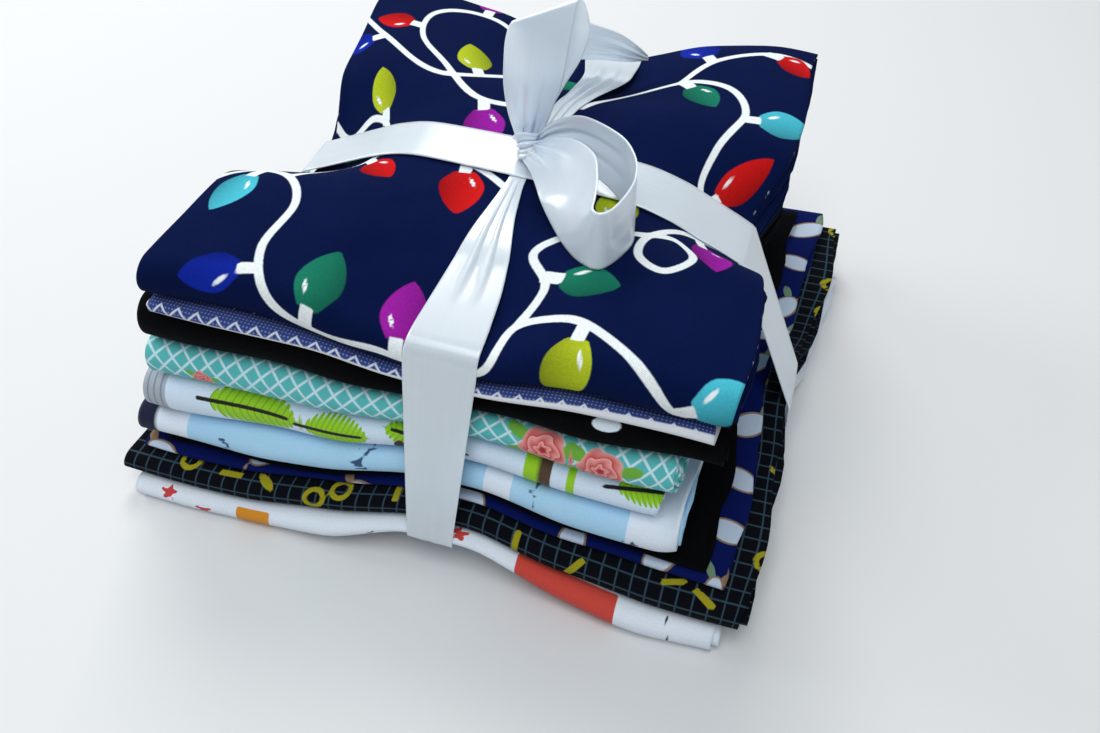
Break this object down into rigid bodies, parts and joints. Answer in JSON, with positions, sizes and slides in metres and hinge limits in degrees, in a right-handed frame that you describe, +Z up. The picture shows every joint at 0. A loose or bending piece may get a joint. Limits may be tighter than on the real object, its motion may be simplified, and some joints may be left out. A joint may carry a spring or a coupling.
{
  "type": "fabric bundle",
  "caption": "Stack of folded printed fabric cuts tied both ways with a white satin ribbon and a bow, for sewing supplies and gift displays.",
  "frame": {"origin": "on the floor, under the middle of the bundle's bounding box", "axes": "+Z up, +X along the folded front edges to the right, the folds face -Y"},
  "size_m": [0.256, 0.2284, 0.1701],
  "materials": {
    "white_coral": "white cotton printed with coral blocks, soft matt weave",
    "black_windowpane": "black cotton with a thin steel-blue check, matt weave",
    "navy_sprig": "royal navy cotton with pale petals and sprigs, matt weave",
    "black_thin": "thin black cotton, matt weave",
    "sky_panel": "pale sky-blue and white panel print, matt weave",
    "white_fern": "white cotton with lime fern sprays, matt weave",
    "aqua_trellis": "aqua cotton with a white trellis and coral roses, matt weave",
    "black_plain": "plain black flannel, matt and slightly fuzzy",
    "blue_triangle": "denim-blue cotton with a white zigzag print, matt weave",
    "navy_lights": "deep navy brushed cotton with a wandering white cord and bright bulbs",
    "ribbon_tie": "white satin with a lengthwise lustre"
  },
  "bodies": {
    "root": {"white_coral": "white_coral", "black_windowpane": "black_windowpane", "navy_sprig": "navy_sprig", "black_thin": "black_thin", "sky_panel": "sky_panel", "white_fern": "white_fern", "aqua_trellis": "aqua_trellis", "black_plain": "black_plain", "blue_triangle": "blue_triangle", "navy_lights": "navy_lights", "ribbon_tie": "ribbon_tie"}
  },
  "joints": []
}
